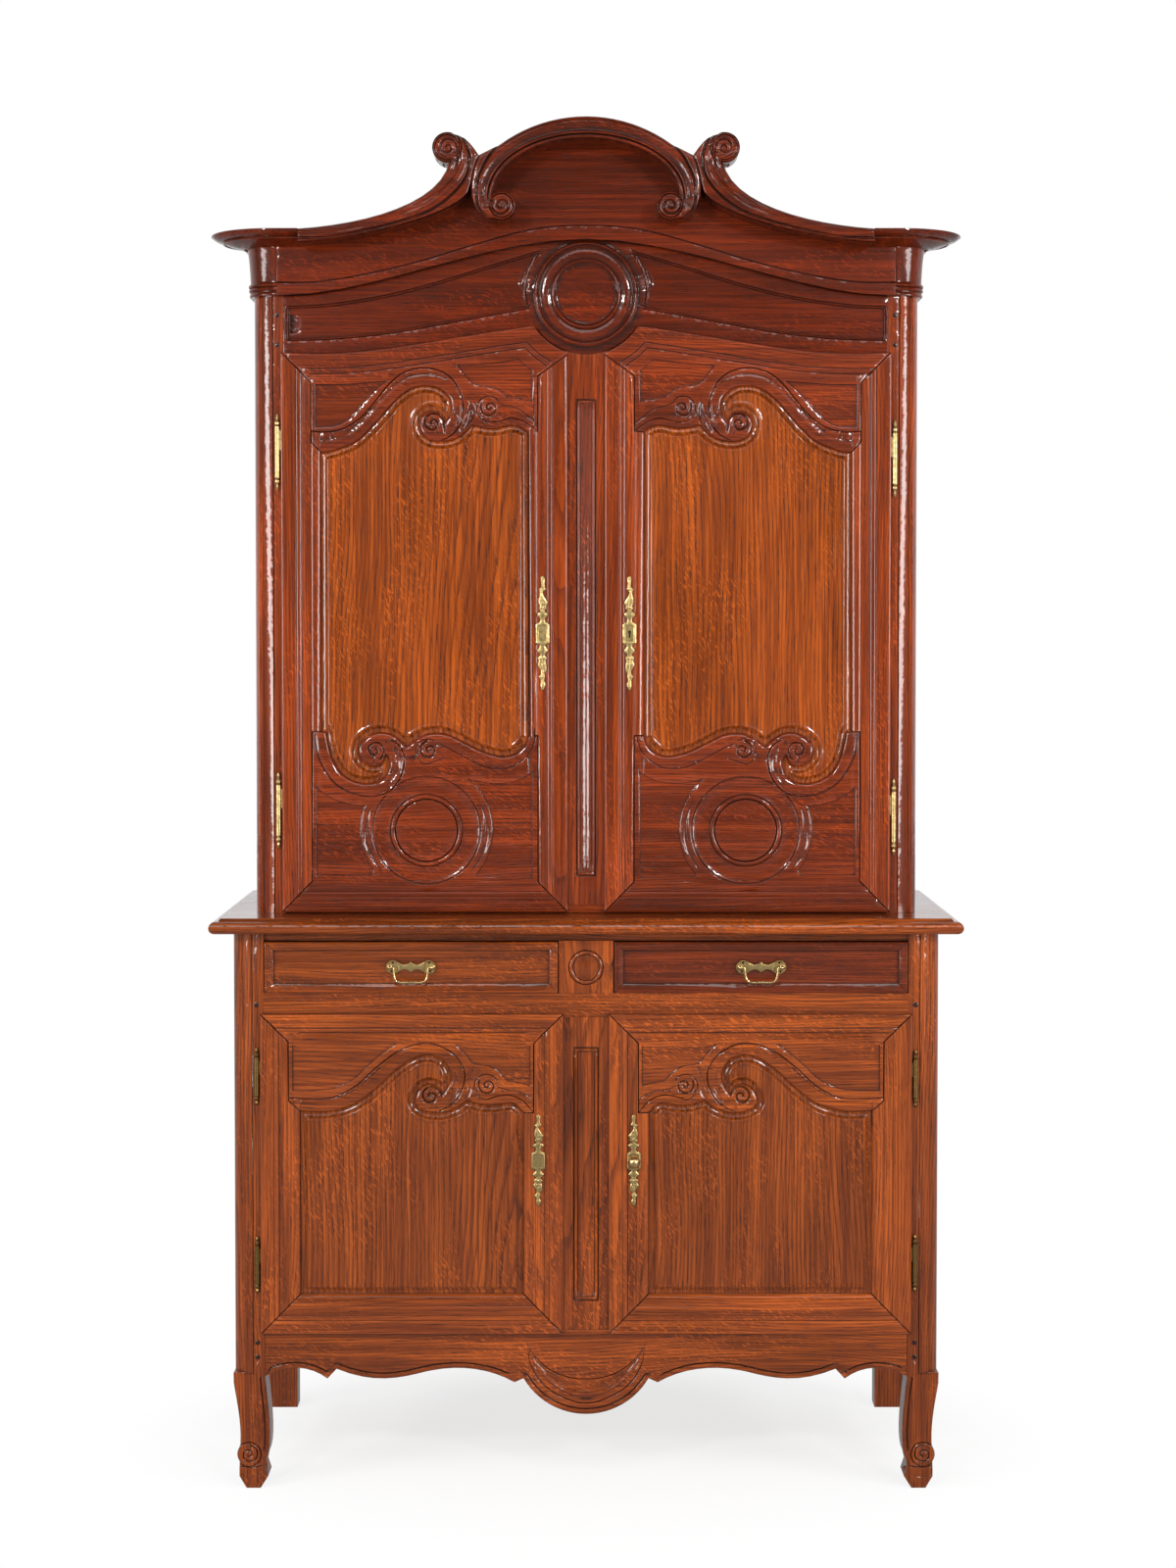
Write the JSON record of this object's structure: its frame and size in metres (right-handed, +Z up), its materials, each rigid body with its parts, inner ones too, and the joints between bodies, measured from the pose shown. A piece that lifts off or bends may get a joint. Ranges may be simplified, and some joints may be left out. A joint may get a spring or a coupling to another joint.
{
  "type": "two-part buffet",
  "caption": "Tall carved oak buffet of an upper case on a lower case, with scrolled pediment, shaped panel doors, drawers with bail pulls, curved apron and short scroll feet",
  "frame": {"origin": "centre of the bounding box in plan, on the floor", "axes": "+X to the right seen from the front, +Y from front to back, +Z up"},
  "size_m": [1.392, 0.628, 2.516],
  "materials": {
    "oak": "waxed red-brown oak, satin",
    "oak_dark": "dark waxed end-grain oak",
    "oak_inside": "plain unwaxed oak, dull",
    "brass": "aged brass with a dull brown patina"
  },
  "bodies": {
    "lower_case": {"lower_front_left_post": "oak", "lower_front_right_post": "oak", "lower_rear_posts": "oak", "lower_rails": "oak", "lower_side_panels": "oak", "lower_back_boards": "oak_inside", "lower_floor_and_shelf": "oak_inside", "drawer_rails": "oak", "drawer_divider": "oak", "drawer_runners": "oak_inside", "lower_mullion": "oak", "apron_rail": "oak", "lower_top": "oak", "lower_hinge_pins": "brass", "lower_pegs": "oak_dark", "locating_dowels": "oak_inside"},
    "upper_case": {"upper_front_left_post": "oak", "upper_front_right_post": "oak", "upper_rear_posts": "oak", "upper_rails": "oak", "upper_side_panels": "oak", "upper_back_boards": "oak_inside", "upper_floor_and_roof": "oak_inside", "upper_shelves": "oak_inside", "frieze_rail": "oak", "upper_mullion": "oak", "pediment_board": "oak", "pediment_scrolls": "oak", "cornice_ends": "oak", "upper_hinge_pins": "brass", "upper_pegs": "oak_dark"},
    "lower_turn_button": {"lower_turn_button": "oak_inside"},
    "upper_turn_button": {"upper_turn_button": "oak_inside"},
    "left_drawer": {"left_drawer_front": "oak", "left_drawer_box": "oak_inside", "left_pull_plate": "brass"},
    "left_bail": {"left_bail": "brass"},
    "right_drawer": {"right_drawer_front": "oak", "right_drawer_box": "oak_inside", "right_pull_plate": "brass"},
    "right_bail": {"right_bail": "brass"},
    "lower_left_door": {"lower_left_door_frame": "oak", "lower_left_door_panel": "oak", "lower_left_door_hinges": "brass", "lower_left_escutcheon": "brass"},
    "lower_right_door": {"lower_right_door_frame": "oak", "lower_right_door_panel": "oak", "lower_right_door_hinges": "brass", "lower_right_escutcheon": "brass"},
    "latch_knob": {"latch_knob": "brass"},
    "upper_left_door": {"upper_left_door_frame": "oak", "upper_left_door_panel": "oak", "upper_left_door_hinges": "brass", "upper_left_escutcheon": "brass"},
    "upper_right_door": {"upper_right_door_frame": "oak", "upper_right_door_panel": "oak", "upper_right_door_hinges": "brass", "upper_right_escutcheon": "brass", "lock_case": "brass"},
    "lock_bolt": {"lock_bolt": "brass"}
  },
  "joints": [
    {"name": "upper_case_lift", "type": "slide", "parent": "lower_case", "child": "upper_case", "axis": [0, 0, 1], "range_m": [0, 0.1]},
    {"name": "lower_left_door_hinge", "type": "hinge", "parent": "lower_case", "child": "lower_left_door", "pos_m": [-0.605, -0.2813, 0.289], "axis": [0, 0, -1], "range_deg": [0, 150]},
    {"name": "lower_right_door_hinge", "type": "hinge", "parent": "lower_case", "child": "lower_right_door", "pos_m": [0.605, -0.2813, 0.289], "axis": [0, 0, 1], "range_deg": [0, 150]},
    {"name": "upper_left_door_hinge", "type": "hinge", "parent": "upper_case", "child": "upper_left_door", "pos_m": [-0.571, -0.2043, 1.062], "axis": [0, 0, -1], "range_deg": [0, 150]},
    {"name": "upper_right_door_hinge", "type": "hinge", "parent": "upper_case", "child": "upper_right_door", "pos_m": [0.571, -0.2043, 1.062], "axis": [0, 0, 1], "range_deg": [0, 150]},
    {"name": "left_drawer_slide", "type": "slide", "parent": "lower_case", "child": "left_drawer", "axis": [0, -1, 0], "range_m": [0, 0.3]},
    {"name": "right_drawer_slide", "type": "slide", "parent": "lower_case", "child": "right_drawer", "axis": [0, -1, 0], "range_m": [0, 0.3]},
    {"name": "left_bail_hinge", "type": "hinge", "parent": "left_drawer", "child": "left_bail", "pos_m": [-0.321, -0.2875, 0.966], "axis": [-1, 0, 0], "range_deg": [0, 85]},
    {"name": "right_bail_hinge", "type": "hinge", "parent": "right_drawer", "child": "right_bail", "pos_m": [0.321, -0.2875, 0.966], "axis": [-1, 0, 0], "range_deg": [0, 85]},
    {"name": "latch_knob_turn", "type": "hinge", "parent": "lower_right_door", "child": "latch_knob", "pos_m": [0.0877, -0.29, 0.61], "axis": [0, 1, 0], "range_deg": [0, 90]},
    {"name": "lock_bolt_slide", "type": "slide", "parent": "upper_right_door", "child": "lock_bolt", "axis": [-1, 0, 0], "range_m": [0, 0.012]},
    {"name": "lower_turn_button_hinge", "type": "hinge", "parent": "lower_case", "child": "lower_turn_button", "pos_m": [-0.028, -0.25, 0.47], "axis": [0, 1, 0], "range_deg": [0, 90]},
    {"name": "upper_turn_button_hinge", "type": "hinge", "parent": "upper_case", "child": "upper_turn_button", "pos_m": [-0.028, -0.172, 1.487], "axis": [0, 1, 0], "range_deg": [0, 90]}
  ]
}
